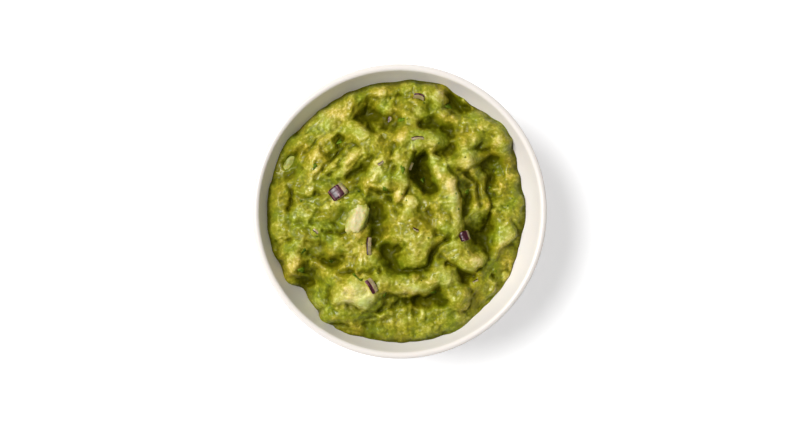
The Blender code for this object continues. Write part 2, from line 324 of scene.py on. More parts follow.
# A fold is a rounded ridge of mash along a path, in millimetres. Its flank that faces the compass
# angle `steep`, in degrees from +X, falls away faster than the other one, unless that is None.
Fold = namedtuple("Fold", "path half_width rise steep")
FOLDS = (
    # the peak, left by the spoon as it was drawn up, and the mound that leans on it
    Fold(((-23, 16), (-16, 25), (-7, 31), (5, 34)), 5.0, 7.0, -45),
    Fold(((-2, 33), (6, 32), (13, 29)), 5.5, 8.5, 90),
    Fold(((-9, 26), (-8, 12)), 7.0, 8.0, None),
    Fold(((3, 28), (2.5, 18), (1, 10)), 5.0, 8.5, 0),
    Fold(((5, 27), (14, 26)), 5.5, 7.0, -90),
    Fold(((-2, 4), (8, 2), (14, -2)), 6.0, 3.5, None),
    # the curl that runs from beside the peak towards the front
    Fold(((17, 19), (20, 11), (21.5, 3), (23, -6)), 6.0, 7.5, 0),
    Fold(((22, 22), (27, 18), (31, 20)), 4.5, 5.5, -60),
    Fold(((33, 14), (35, 4), (33, -2)), 4.0, 5.0, 0),
    Fold(((4, -8), (10, -12), (8, -19)), 7.0, 6.5, -45),
    Fold(((18, -12), (23, -17)), 4.5, 5.5, -45),
    # lumps and flat spoonfuls against the back wall
    Fold(((27, 27), (32, 29)), 4.5, 6.0, -30),
    Fold(((33, 34), (40, 32), (44, 28)), 5.5, 4.5, None),
    Fold(((20, 38), (28, 35)), 4.5, 4.5, None),
    Fold(((3, 48), (11, 48)), 4.5, 4.5, -90),
    Fold(((14, 49), (17, 45)), 4.0, 5.5, -20),
    Fold(((-4, 42), (7, 40)), 4.5, 4.0, None),
    Fold(((-14, 48), (-3, 48)), 4.0, 4.5, -90),
    Fold(((-36, 31), (-28, 38), (-18, 43)), 8.5, 5.0, -45),
    Fold(((-19, 35), (-14, 31)), 5.5, 7.5, 60),
    # the left side, smeared in long strokes
    Fold(((-38, 8), (-33, 18), (-27, 26), (-20, 29)), 4.5, 5.5, -45),
    Fold(((-30, 12), (-20, 18), (-14, 22)), 6.5, 5.0, None),
    Fold(((-38, 0), (-30, 1), (-24, 2)), 6.0, 5.0, None),
    Fold(((-43, -3), (-41, 10), (-37, 20)), 4.0, 4.5, 180),
    Fold(((-49, 6), (-48, -6)), 5.0, 4.0, None),
    Fold(((-43, -15), (-44, -22)), 4.5, 5.0, None),
    Fold(((-38, -10), (-30, -11)), 6.0, 4.5, -90),
    Fold(((-16, 2), (-18, -8)), 5.5, 6.0, 0),
    Fold(((-24, -15), (-15, -15), (-11, -20)), 6.0, 6.5, -20),
    # spoonfuls at the front, each lapping over the one below it
    Fold(((-21, -33), (-12, -35)), 9.5, 9.5, -75),
    Fold(((-31, -42), (-20, -44), (-9, -42)), 5.0, 3.5, -90),
    Fold(((-33, -30), (-31, -38)), 4.0, 4.0, 0),
    Fold(((-3, -31), (10, -32)), 5.0, 6.5, -80),
    Fold(((26, -17), (31, -22)), 5.5, 7.0, -50),
    Fold(((15, -25), (21, -28)), 5.5, 5.5, -30),
    Fold(((23, -33), (26, -37)), 4.5, 6.0, -60),
    Fold(((32, -28), (37, -32)), 4.0, 4.0, -30),
    Fold(((-6, -48), (8, -48)), 4.5, 2.2, None),
    Fold(((14, -46), (22, -43)), 4.0, 2.0, None),
    # the low shoulder on the right
    Fold(((40, -13), (46, -9)), 4.0, 4.5, 0),
    Fold(((44, 14), (47, 2)), 4.0, 2.0, None),
)

# A hollow is a groove or a pit with the same kind of path, in millimetres.
Hollow = namedtuple("Hollow", "path half_width depth")
HOLLOWS = (
    Hollow(((10, 21), (9, 14), (12, 10)), 3.2, 10.0),
    Hollow(((13, 36), (19, 32)), 4.0, 3.0),
    Hollow(((-14, 40), (-9, 37), (-4, 36)), 4.5, 4.5),
    Hollow(((-25, 28), (-24, 30)), 2.0, 3.0),
    Hollow(((34, 26), (36, 18), (35, 8)), 6.0, 4.5),
    Hollow(((33, -4), (34, -14)), 5.5, 6.0),
    Hollow(((29, 12), (28, 2)), 3.0, 3.0),
    Hollow(((22, 46), (25, 43)), 5.0, 4.0),
    Hollow(((17, 24), (21, 25)), 3.5, 4.0),
    Hollow(((-9, 2), (-8, -8)), 4.0, 2.5),
    Hollow(((-4, -15), (-2, -21)), 4.5, 4.0),
    Hollow(((-39, -26), (-37, -24)), 3.5, 3.0),
    Hollow(((-30, -20), (-27, -21)), 3.0, 3.0),
    Hollow(((8, -36), (16, -36)), 3.5, 4.0),
    Hollow(((27, -28), (28, -27)), 3.0, 3.0),
    Hollow(((-10, 7), (-4, 6)), 3.0, 3.0),
)

# Creases are the dark clefts where one fold laps over the next.
CREASES = (
    Hollow(((-44, 1), (-43.5, 10)), 1.2, 1.6),
    Hollow(((-40, 27), (-47, 19)), 1.2, 1.6),
    Hollow(((-20, 14), (-16, 17), (-11.5, 23)), 1.3, 1.8),
    Hollow(((-28, 15), (-24, 20), (-17, 26.5)), 1.2, 2.2),
    Hollow(((-8, 31.5), (-12.5, 35)), 1.1, 2.0),
    Hollow(((-34, 14), (-31, 19), (-25, 25)), 0.9, 1.4),
    Hollow(((6, 24), (5.6, 17), (7, 11)), 1.3, 2.6),
    Hollow(((-2, 10), (-8, 8), (-13, 10)), 1.1, 1.8),
    Hollow(((-21, -8), (-24, -9), (-31, -8)), 1.0, 1.6),
    Hollow(((-8, -24), (-16, -26), (-24, -25)), 1.0, 1.8),
    Hollow(((-27, -31), (-31, -37), (-33, -41)), 1.1, 2.0),
    Hollow(((25, 17), (31, 12), (33, 4)), 1.1, 2.0),
    Hollow(((21, -23), (27, -26), (33, -24)), 1.1, 2.0),
    Hollow(((-32, -47), (-22, -46), (-10, -43)), 1.1, 1.6),
    Hollow(((20, -10.5), (16, -13), (14, -17), (12.5, -21), (8, -23.5), (2, -24.5)), 1.4, 2.4),
    Hollow(((-8, -40), (2, -37.5), (12, -34)), 1.4, 2.2),
    Hollow(((37, 1), (33, -5)), 1.2, 1.8),
    Hollow(((38, -27), (35, -33)), 1.2, 1.6),
    Hollow(((-43, -28), (-36, -29)), 1.3, 2.0),
    Hollow(((-30, 23), (-24, 26), (-18, 27)), 1.0, 1.2),
)


def from_path(x, y, path):
    """The nearest way, as two arrays, from a path in millimetres to each place."""
    best = np.full(x.shape, np.inf)
    best_x = np.zeros_like(x)
    best_y = np.zeros_like(x)
    for (x0, y0), (x1, y1) in zip(path, path[1:]):
        length = (x1 - x0) ** 2 + (y1 - y0) ** 2
        along = np.clip(((x - x0) * (x1 - x0) + (y - y0) * (y1 - y0)) / length, 0, 1)
        way_x = x - x0 - along * (x1 - x0)
        way_y = y - y0 - along * (y1 - y0)
        nearer = way_x**2 + way_y**2 < best
        best = np.where(nearer, way_x**2 + way_y**2, best)
        best_x = np.where(nearer, way_x, best_x)
        best_y = np.where(nearer, way_y, best_y)
    return best_x, best_y


def bump(distance, half_width):
    """A smooth bump, 1 at its middle and 0 from half_width on."""
    share = np.minimum(1, distance / half_width)
    return (1 - share * share) ** 1.5


def fold_height(x, y, fold):
    """How high a fold raises each place: flat along its path, and round down to its edge."""
    way_x, way_y = from_path(x, y, fold.path)
    away = np.hypot(way_x, way_y)
    distance = np.maximum(0, away - FOLD_FLAT * fold.half_width)
    if fold.steep is not None:
        turn = math.radians(fold.steep)
        side = (way_x * math.cos(turn) + way_y * math.sin(turn)) / np.maximum(away, 1e-6)
        distance = distance * (1 + FOLD_STEEP * np.maximum(0, side)
                               - FOLD_GENTLE * np.maximum(0, -side))
    share = np.minimum(1, distance / (FOLD_SPREAD * fold.half_width))
    return FOLD_RISE * fold.rise * (1 - share * share)


def deepest(x, y, hollows, spread):
    """How far the deepest of some hollows sinks each place."""
    return np.max([hollow.depth * bump(np.hypot(*from_path(x, y, hollow.path)),
                                       hollow.half_width * spread) for hollow in hollows], axis=0)


def field(x, y, size, seed):
    """Smooth noise from -1 to 1 whose blobs are about `size` millimetres across."""
    return np.array([noise.noise((a, b, seed)) for a, b in zip(x / size, y / size)])


def ridges(x, y, size, seed):
    """Noise from -1 to 1 with sharp crests, like torn mash."""
    return 1 - 2 * abs(field(x, y, size, seed))


def contact_drop(degrees):
    """How far below the lip the heap meets the wall in each direction, eased between the marks."""
    marks = sorted(FILL_DROP) + [360]
    drops = [FILL_DROP[mark % 360] for mark in marks]
    found = np.clip(np.searchsorted(marks, degrees, side="right") - 1, 0, len(marks) - 2)
    low = np.take(marks, found)
    high = np.take(marks, found + 1)
    share = (1 - np.cos(np.pi * (degrees - low) / (high - low))) / 2
    return np.take(drops, found) * (1 - share) + np.take(drops, found + 1) * share


def folded_crown(x, y, share, contact):
    """The crown with its folds, hollows and creases, before the lumps are laid on it."""
    bent_x = x + WANDER * field(x, y, WANDER_SIZE, 3.1) + SHIVER * field(x, y, SHIVER_SIZE, 1.7)
    bent_y = y + WANDER * field(x, y, WANDER_SIZE, 8.7) + SHIVER * field(x, y, SHIVER_SIZE, 6.2)
    crown = contact + (CROWN_Z / MM - contact) * (1 - share**2)
    raised = np.max([fold_height(bent_x, bent_y, fold) for fold in FOLDS], axis=0)
    raised = raised * (1 + FOLD_UNEVEN * field(x, y, FOLD_UNEVEN_SIZE, 12.9))
    raised = blunt(-blunt(-raised, GROOVE_REACH, GROOVE_DEPTH), PROUD_REACH, PROUD)
    sunk = deepest(bent_x, bent_y, HOLLOWS, HOLLOW_SPREAD)
    clefts = deepest(bent_x, bent_y, CREASES, CREASE_SPREAD)
    return crown + (raised - sunk) * fade_in(from_wall(share), FOLDS_FADE) - clefts


def from_wall(share):
    """How many millimetres a place is from the wall, from its share of the way out to it."""
    return (1 - share) * RIM_RADIUS / MM


def fade_in(distance, reach):
    """0 at the wall, rising to 1 at about `reach` millimetres from it."""
    return 1 - np.exp(-2.5 * (distance / reach) ** 2)


# A lump is a soft dome at x, y, drawn out `stretch` times as long as it is wide along `turn`, in
# degrees from +X. A low `edge` gives it a steep rim, `tilt` lifts one end, and `tint` is its pallor.
Lump = namedtuple("Lump", "x y radius stretch turn rise edge tilt tint")

# Soft bits of avocado that stand out of the mash, paler than it is.
NAMED_LUMPS = (
    Lump(-34.7, 22.7, 3.0, 1.7, 60, 2.4, 0.6, 0.3, 0.9),
    Lump(29.5, 29.5, 3.4, 1.3, 10, 2.4, 0.5, 0.4, 0.6),
    Lump(16.0, 47.0, 3.2, 1.6, 70, 2.4, 0.5, 0.3, 0.8),
    Lump(43.0, -11.5, 4.4, 1.6, 35, 2.6, 0.5, 0.3, 0.6),
    Lump(21.5, -35.5, 1.8, 1.5, -60, 1.8, 0.5, 0.2, 1.0),
    Lump(6.0, 26.0, 2.0, 1.3, 80, 1.8, 0.5, 0.3, 1.0),
    Lump(-30.0, 2.0, 2.0, 1.4, 40, 1.6, 0.5, 0.3, 0.9),
    Lump(-25.0, -12.5, 2.6, 1.5, 10, 1.8, 0.5, 0.3, 0.9),
    Lump(-34.0, -31.0, 1.8, 1.5, 70, 1.5, 0.5, 0.2, 1.0),
    Lump(22.0, -13.5, 2.2, 1.5, 30, 1.8, 0.5, 0.3, 0.9),
    Lump(20.5, -19.0, 2.2, 1.4, 80, 1.8, 0.5, 0.3, 0.9),
    Lump(-37.0, 8.0, 2.2, 1.6, 60, 1.8, 0.5, 0.3, 1.0),
    Lump(-43.5, -20.5, 4.0, 1.7, 75, 2.2, 0.5, 0.3, 0.8),
    Lump(-1.5, 21.0, 2.6, 2.4, 76, 2.0, 0.5, 0.3, 0.7),
    Lump(23.0, -1.5, 3.0, 2.2, 95, 1.8, 0.5, 0.2, 0.9),
    Lump(2.0, -33.0, 3.0, 1.6, 10, 2.0, 0.5, 0.2, 0.9),
    Lump(9.0, -43.0, 2.2, 1.6, 100, 1.6, 0.5, 0.2, 0.8),
    Lump(0.0, -41.5, 2.4, 1.3, 60, 1.6, 0.5, 0.2, 0.7),
    Lump(31.0, -20.0, 3.8, 1.3, -40, 2.0, 0.5, 0.3, 0.8),
    Lump(-6.0, 10.5, 2.4, 1.4, 60, 1.8, 0.5, 0.2, 0.8),
    Lump(-3.0, -16.0, 5.0, 1.3, 80, 2.2, 0.6, 0.1, 0.3),
    Lump(21.5, 8.0, 4.6, 2.4, 100, 2.4, 0.5, 0.2, 0.8),
    Lump(26.0, 19.5, 3.4, 1.3, 0, 2.2, 0.5, 0.3, 0.7),
    Lump(-18.0, -17.5, 6.0, 1.3, 20, 2.2, 0.5, 0.2, 0.6),
    Lump(19.0, -27.0, 4.0, 1.4, -30, 2.0, 0.5, 0.2, 0.6),
    Lump(4.0, -32.0, 4.4, 1.9, 0, 2.2, 0.5, 0.2, 0.8),
    Lump(-28.5, 18.0, 3.6, 2.6, 55, 2.0, 0.5, 0.2, 0.7),
    Lump(-20.5, 22.0, 4.0, 2.4, 50, 2.4, 0.5, 0.2, 0.8),
    Lump(-9.0, 17.0, 4.6, 1.8, 60, 2.4, 0.5, 0.2, 0.8),
    Lump(-30.0, 9.0, 3.0, 1.8, 60, 1.8, 0.5, 0.2, 0.7),
    Lump(-18.5, -35.5, 8.0, 1.5, 15, 3.2, 0.45, 0.2, 0.8),
    Lump(-28.0, 37.0, 8.5, 1.7, 52, 2.4, 0.5, 0.1, 0.7),
    Lump(9.0, -14.0, 6.0, 1.4, 70, 1.8, 0.5, 0.2, 0.45),
    Lump(-16.0, 31.5, 4.0, 1.3, 30, 2.0, 0.5, 0.3, 0.6),
)

# Lumps strewn at random: how many, and the spans of their radius and of their rise against it.
COARSE_LUMPS = (520, (1.4, 3.8), (0.5, 0.8))
FINE_LUMPS = (2800, (0.5, 1.4), (0.6, 1.0))

# Left of and behind this corner the back of the spoon smeared the mash, and lumps are long and lie
# along one direction, in degrees from +X.
SMEAR_CORNER = (-8, -6)
SMEAR_TURN = 54
SMEAR_SCATTER = 12

# The places, with a reach, where a topping has been pressed into a flat bed.
PRESSED_FLAT = ((-17.0, -3.2, 7.0), (-24.8, 7.8, 5.5), (26.2, -10.1, 4.0), (-44.6, 19.4, 6.0))


def random_lumps(count, radius, rise, seed):
    """Lumps strewn evenly over the heap, from a fixed seed, most of them small."""
    random = np.random.default_rng(seed)
    made = []
    for _ in range(count):
        turn = random.uniform(0, math.tau)
        across = HEAP_WIDTH / 2 * math.sqrt(random.uniform(0, 1))
        x = across * math.cos(turn)
        y = across * math.sin(turn)
        size = radius[0] + (radius[1] - radius[0]) * random.uniform(0, 1) ** 2
        smeared = x < SMEAR_CORNER[0] and y > SMEAR_CORNER[1]
        stretch = random.uniform(1.8, 3.2) if smeared else random.uniform(1.0, 1.7)
        lie = random.normal(SMEAR_TURN, SMEAR_SCATTER) if smeared else random.uniform(0, 360)
        height = size / math.sqrt(stretch) * random.uniform(*rise)
        edge = random.uniform(0.3, 0.9)
        tilt = random.uniform(0, 0.7)
        made.append(Lump(x, y, size, stretch, lie, height, edge, tilt, random.uniform(0, 1)))
    return made


def lay_lumps(x, y, lumps):
    """How high each place is raised by soft domed lumps, and how pale the lump there is."""
    raised = np.zeros_like(x)
    tint = np.zeros_like(x)
    for lump in lumps:
        spread = math.sqrt(lump.stretch)
        reach = lump.radius * spread
        near = np.flatnonzero((abs(x - lump.x) < reach) & (abs(y - lump.y) < reach))
        dx = x[near] - lump.x
        dy = y[near] - lump.y
        turn = math.radians(lump.turn)
        u = (dx * math.cos(turn) + dy * math.sin(turn)) / reach
        v = (dy * math.cos(turn) - dx * math.sin(turn)) / (lump.radius / spread)
        dome = np.maximum(0, 1 - u * u - v * v) ** lump.edge * (1 + lump.tilt * u) / (1 + lump.tilt)
        higher = lump.rise * dome > raised[near]
        raised[near] = np.where(higher, lump.rise * dome, raised[near])
        tint[near] = np.where(higher, lump.tint * np.minimum(1, 1.6 * dome), tint[near])
    return raised, tint


def soften(values, reach):
    """Blurs values laid out on the heap's grid of vertices over about `reach` millimetres."""
    side = HEAP_CELLS + 1
    grid = values.reshape(side, side)
    for _ in range(max(1, round((reach / HEAP_CELL) ** 2))):
        padded = np.pad(grid, 1, mode="edge")
        grid = (padded[:-2, 1:-1] + padded[2:, 1:-1] + padded[1:-1, :-2] + padded[1:-1, 2:]) / 4
    return grid.reshape(-1)


def blunt(values, reach, most):
    """Presses down whatever stands more than about `most` out of what is `reach` around it."""
    out = np.maximum(0, values - soften(values, reach))
    return values - (out - most * (1 - np.exp(-out / most)))


def mashed_avocado():
    """Ripe avocado mashed by hand: moist, a little clear, with paler bits. It is lighter where it stands
    out and darker where it lies low, as painted light and shade, and dark olive in the clefts and by
    the wall, as painted shade. Its gloss comes and goes."""
    made, tree, shader, place = new_material("mashed_avocado")
    # Pallor: the paler bits of avocado, with painted light and shade by how far the mash stands out.
    pale = add_node(tree, "ShaderNodeAttribute", {"attribute_name": "pale"}).outputs["Fac"]
    # Painted shade: how dark the clefts and the corner by the wall are drawn.
    painted_cleft_shade = add_node(tree, "ShaderNodeAttribute", {"attribute_name": "painted_cleft_shade"}).outputs["Fac"]
    flecks = map_range(tree, noise_node(tree, place, 1.2, 3.0), 0.4, 0.7, -0.12, 0.25)
    pallor = add_node(tree, "ShaderNodeMath", {"operation": "ADD"}, _0=pale, _1=flecks).outputs[0]
    tone = ramp(tree, pallor, (0.0, "8a8b10"), (0.3, "aba728"), (0.6, "d2ca60"), (1.0, "f6ecaa"))
    drift = ramp(tree, noise_node(tree, place, 9.0, 3.0), (0.35, "dcedc6"), (0.65, "fff0da"))
    tone = mix(tree, 1.0, tone, drift, "MULTIPLY")
    # The painted shade mixes the clefts and the wall's corner towards dark olive.
    tone = mix(tree, painted_cleft_shade, tone, "3f3f00")
    tree.links.new(tone, shader.inputs["Base Color"])
    gloss = map_range(tree, noise_node(tree, place, 3.0, 3.0), 0.35, 0.65, 0.28, 0.5)
    tree.links.new(gloss, shader.inputs["Roughness"])
    shader.inputs["IOR"].default_value = 1.4
    dull = map_range(tree, painted_cleft_shade, 0.1, 0.7, 0.4, 0.12)
    tree.links.new(dull, shader.inputs["Specular IOR Level"])
    film = map_range(tree, noise_node(tree, place, 2.5, 2.0), 0.5, 0.7, 0.0, 0.12)
    tree.links.new(film, shader.inputs["Coat Weight"])
    shader.inputs["Coat Roughness"].default_value = 0.12
    shader.inputs["Subsurface Weight"].default_value = 0.2
    shader.inputs["Subsurface Scale"].default_value = 1.5 * MM
    shader.inputs["Subsurface Radius"].default_value = (1.0, 0.9, 0.3)
    pulp = noise_node(tree, place, 0.8, 3.0)
    relief = add_node(tree, "ShaderNodeBump", Strength=0.35, Distance=0.15 * MM, Height=pulp)
    tree.links.new(relief.outputs["Normal"], shader.inputs["Normal"])
    return made


def disc_grid(shape):
    """A square grid pressed into a unit disc: its vertices' numbers row by row, and their places."""
    bmesh.ops.create_grid(shape, x_segments=HEAP_CELLS, y_segments=HEAP_CELLS, size=1)
    flat = np.array([vert.co for vert in shape.verts])
    rows = np.lexsort((np.round(flat[:, 0] * HEAP_CELLS), np.round(flat[:, 1] * HEAP_CELLS)))
    u = flat[rows, 0]
    v = flat[rows, 1]
    return rows, u * np.sqrt(1 - v * v / 2), v * np.sqrt(1 - u * u / 2)


def contact_height(disc_x, disc_y, share):
    """How high the heap meets the wall in the direction of each place, in millimetres."""
    degrees = np.degrees(np.arctan2(disc_y, disc_x)) % 360
    at_wall_x = HEAP_WIDTH / 2 * disc_x / share.clip(0.01)
    at_wall_y = HEAP_WIDTH / 2 * disc_y / share.clip(0.01)
    return RIM_Z / MM - contact_drop(degrees) + RIPPLE * field(at_wall_x, at_wall_y, RIPPLE_SIZE, 2.2)


def mash_relief(x, y, share):
    """What lies on the crown, as heights: lumps, grit and torn ridges; and how pale the lumps are,
    partly from their own paler flesh and partly painted light that grows with their height.
    """
    bent_x = x + BEND * field(x, y, BEND_SIZE, 11.5)
    bent_y = y + BEND * field(x, y, BEND_SIZE, 17.5)
    strewn = random_lumps(*COARSE_LUMPS, seed=5) + list(NAMED_LUMPS)
    coarse, coarse_tint = lay_lumps(bent_x, bent_y, strewn)
    fine, fine_tint = lay_lumps(bent_x, bent_y, random_lumps(*FINE_LUMPS, seed=6))
    lumpy = np.clip(LUMPY + LUMPY_CHANGE * field(x, y, LUMPY_SIZE, 4.4), *LUMPY_SPAN)
    for bed_x, bed_y, bed in PRESSED_FLAT:
        lumpy *= 1 - np.exp(-((x - bed_x) ** 2 + (y - bed_y) ** 2) / bed**2)
    lumps = (COARSE_RISE * coarse + FINE_RISE * fine) * lumpy
    grit = GRIT * ridges(x, y, GRIT_SIZE, 5.5) + FINE_GRIT * ridges(x, y, FINE_GRIT_SIZE, 6.5)
    torn = SWELL * field(x, y, SWELL_SIZE, 7.7) + TORN * (ridges(bent_x, bent_y, TORN_SIZE, 9.7) - 0.5)
    relief = (lumps + grit + torn) * fade_in(from_wall(share), LUMPS_FADE)
    # The lumps' pallor: their own tint, plus painted light in proportion to their height.
    pallor = coarse / COARSE_PALE * (0.2 + 0.5 * coarse_tint)
    pallor += fine / FINE_PALE * (0.1 + 0.5 * fine_tint**2)
    return relief, pallor


def cleft_share(height, reach, depth):
    """0 in the open, and 1 where the surface lies `depth` under the mean of what is around it."""
    return np.clip((soften(height, reach) - height) / depth, 0, 1)


def cleft_shade(height, share):
    """How much painted shade each place gets: in narrow and wide clefts, and in the wall's corner."""
    thin = NARROW_SHADE * cleft_share(height, *THIN_CLEFT)
    near = NARROW_SHADE * cleft_share(height, *NEAR_CLEFT)
    wide = WIDE_SHADE * cleft_share(height, WIDE_REACH, WIDE_CLEFT)
    by_wall = NARROW_SHADE * np.exp(-from_wall(share) / WALL_CORNER)
    return np.clip(thin + near + wide + by_wall, 0, WIDE_SHADE)


def close_underneath(shape):
    """Closes the heap with rings that follow the inside of the wall down to the axis."""
    rim = [edge for edge in shape.edges if edge.is_boundary]
    for rings_left in range(SKIRT_RINGS, 0, -1):
        made = bmesh.ops.extrude_edge_only(shape, edges=rim)["geom"]
        lower = [item for item in made if isinstance(item, bmesh.types.BMVert)]
        for vert in lower:
            turn = math.asin(min(1, (SPHERE_Z - vert.co.z) / HEAP_SPHERE))
            turn += (math.pi / 2 - turn) / rings_left
            around_axis = math.atan2(vert.co.y, vert.co.x)
            across = HEAP_SPHERE * math.cos(turn)
            vert.co = (across * math.cos(around_axis), across * math.sin(around_axis),
                       SPHERE_Z - HEAP_SPHERE * math.sin(turn))
        rim = [item for item in made if isinstance(item, bmesh.types.BMEdge)]
    bmesh.ops.remove_doubles(shape, verts=lower, dist=0.01 * MM)


def make_heap():
    """The guacamole: a folded, lumpy crown on a grid that reaches just into the wall."""
    shape = bmesh.new()
    rows, disc_x, disc_y = disc_grid(shape)
    share = np.minimum(1, np.hypot(disc_x, disc_y))
    contact = contact_height(disc_x, disc_y, share)
    reach = np.sqrt((HEAP_SPHERE / MM) ** 2 - (SPHERE_Z / MM - contact) ** 2)
    x = disc_x * reach
    y = disc_y * reach
    relief, pallor = mash_relief(x, y, share)
    height = folded_crown(x, y, share, contact) + relief
    height = soften(blunt(height, LUMPS_REACH, LUMPS_PROUD), SMOOTHING)
    # Painted shade, darkest in the clefts and by the wall, kept on the vertices for the mash's colour.
    painted_cleft_shade = cleft_shade(height, share)
    # Painted light and shade: what stands out of the mash around it is drawn paler, and what lies low
    # darker.
    proud = np.clip((height - soften(height, WIDE_REACH)) / PAINTED_LIGHT_HEIGHT, -0.5, 1)
    pale = soften(np.clip(pallor + 0.6 * proud, 0, 1), SMOOTHING)
    pallor_light_layer = shape.verts.layers.float.new("pale")
    cleft_shade_layer = shape.verts.layers.float.new("painted_cleft_shade")
    shape.verts.ensure_lookup_table()
    for k, row in enumerate(rows):
        vert = shape.verts[row]
        vert.co = (x[k] * MM, y[k] * MM, height[k] * MM)
        vert[pallor_light_layer] = pale[k]
        vert[cleft_shade_layer] = painted_cleft_shade[k]
    close_underneath(shape)
    heap = add_object("guacamole_heap", shape, [mashed_avocado()])
    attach(heap, "root")
    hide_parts("guacamole")
    return heap


# ---------------------------------------------------------------------------------- the toppings


def surface_at(heap, x, y):
    """Where the heap lies under (x, y), given in millimetres, and which way it faces there."""
    _, spot, normal, _ = heap.ray_cast(Vector((x * MM, y * MM, 2 * RIM_Z)), Vector((0, 0, -1)))
    return spot, normal


def red_onion_skin():
    """The outer face of a red onion layer: dark wine purple, finely streaked, moist."""
    made, tree, shader, _ = new_material("red_onion_skin")
    grain = add_node(tree, "ShaderNodeAttribute", {"attribute_name": "grain"}).outputs["Vector"]
    streaks = add_node(tree, "ShaderNodeTexNoise", Vector=grain, Scale=1.0, Detail=2.0)
    tone = ramp(tree, streaks.outputs["Fac"], (0.42, "2e0a12"), (0.56, "4a1522"), (0.7, "8a5c64"))
    tree.links.new(tone, shader.inputs["Base Color"])
    shader.inputs["Roughness"].default_value = 0.3
    shader.inputs["IOR"].default_value = 1.4
    return made


def onion_flesh():
    """The flesh of raw onion: clear white, tinted by the mash, with a wet gloss."""
    made, tree, shader, place = new_material("onion_flesh")
    tone = ramp(tree, noise_node(tree, place, 2.0), (0.4, "a39562"), (0.65, "c6b28c"))
    tree.links.new(tone, shader.inputs["Base Color"])
    shader.inputs["Roughness"].default_value = 0.3
    shader.inputs["IOR"].default_value = 1.4
    shader.inputs["Subsurface Weight"].default_value = 0.2
    shader.inputs["Subsurface Scale"].default_value = 1.2 * MM
    return made


# A slice of onion lies at x, y in millimetres, its length turned from +X; it is bent by so many
# degrees from end to end and leans over sideways. `skin` is how much of its width is purple skin.
Slice = namedtuple("Slice", "x y length width thick turn bend lean skin lift")
DICE = {
    "onion_dice_left": Slice(-25.0, 7.8, 5.2, 7.2, 4.6, 126, 3, 2, 0.74, 1.9),
    "onion_dice_right": Slice(26.2, -10.1, 3.9, 4.3, 3.6, 107, 2, -6, 0.78, 1.8),
}
SLIVERS = (
    Slice(-11.3, -30.0, 6.2, 3.0, 1.4, 124, 10, 8, 0.4, 0.8),
    Slice(-12.7, -14.3, 7.2, 2.0, 1.2, 86, -8, 0, 0.25, 1.0),
    Slice(-3.8, 37.6, 5.0, 2.0, 1.2, 84, 10, 6, 0.4, 0.3),
    Slice(7.2, 29.8, 5.0, 1.3, 0.8, 4, -16, 0, 0.4, 0.2),
    Slice(8.0, 47.0, 4.4, 2.2, 0.9, -14, -34, 8, 0.25, 0.4),
    Slice(6.6, -7.6, 3.6, 1.3, 0.8, -24, 20, 0, 0.5, 0.3),
    Slice(-7.6, 19.4, 2.6, 1.2, 0.8, 35, 12, 0, 0.4, 0.3),
    Slice(4.4, 18.4, 3.2, 1.8, 0.9, 70, -10, 0, 0.2, 0.3),
    Slice(-34.0, -8.0, 2.6, 1.2, 0.8, 140, 12, 0, 0.35, 0.3),
    Slice(31.0, -28.5, 2.4, 1.1, 0.8, 30, 10, 0, 0.4, 0.3),
)
SLICE_STATIONS = 12
SLICE_EDGE = 0.22  # of its thickness, cut off each corner
SLICE_TAPER = 0.16  # of its width, lost towards its ends
SLICE_ROUGH = 0.12
LEVEL_PULL = 1.5  # how much more a slice lies level than the mash under it


def section_points(width, thick, skin):
    """Points round a slice's rounded cross section, and for each side whether it is skin."""
    split = width * (0.5 - skin)
    edge = SLICE_EDGE * thick
    half = width / 2
    rise = thick / 2
    points = [(-half, -rise + edge), (-half + edge, -rise), (half - edge, -rise), (half, -rise + edge),
              (half, rise - edge), (half - edge, rise), (split, rise * 1.04),
              (-half + edge, rise * 0.96), (-half, rise - edge)]
    return points, [False, False, False, True, True, True, False, False, False]


def add_slice(shape, grain_layer, heap, cut, seed):
    """One slice of onion, pressed into the heap: a bent strip with rounded, slightly rough sides."""
    spot, facing = surface_at(heap, cut.x, cut.y)
    facing = (facing + Vector((0, 0, LEVEL_PULL))).normalized()
    along = Vector((math.cos(math.radians(cut.turn)), math.sin(math.radians(cut.turn)), 0))
    along = (along - facing * along.dot(facing)).normalized()
    across = facing.cross(along)
    tilt = Matrix.Rotation(math.radians(cut.lean), 3, along)
    facing = tilt @ facing
    across = tilt @ across
    centre = spot + facing * (cut.lift - cut.thick / 2) * MM
    points, sides = section_points(cut.width, cut.thick, cut.skin)
    bend = math.radians(cut.bend)
    rings = []
    for k in range(SLICE_STATIONS + 1):
        t = 2 * k / SLICE_STATIONS - 1
        taper = (1 - abs(t) ** 6) ** 0.5 * SLICE_TAPER + 1 - SLICE_TAPER
        sway = bend * t * t * cut.length / 4
        ring = []
        for a, b in points:
            rough = SLICE_ROUGH * noise.noise((a + seed, b, 2.2 * t * cut.length / 2))
            way = t * cut.length / 2 * (1 + 0.05 * noise.noise((a, b, seed)))
            side = a * taper + sway + rough
            up = b * (0.8 + 0.2 * taper) + rough
            vert = shape.verts.new(centre + (along * way + across * side + facing * up) * MM)
            vert[grain_layer] = Vector((way * 0.25, side * 1.6, seed))
            ring.append(vert)
        rings.append(ring)
    count = len(points)
    for one, two in zip(rings, rings[1:]):
        for k, is_skin in enumerate(sides):
            nxt = (k + 1) % count
            face = shape.faces.new((one[k], one[nxt], two[nxt], two[k]))
            face.material_index = 1 if is_skin else 0
    shape.faces.new(rings[0])
    shape.faces.new(rings[-1][::-1])


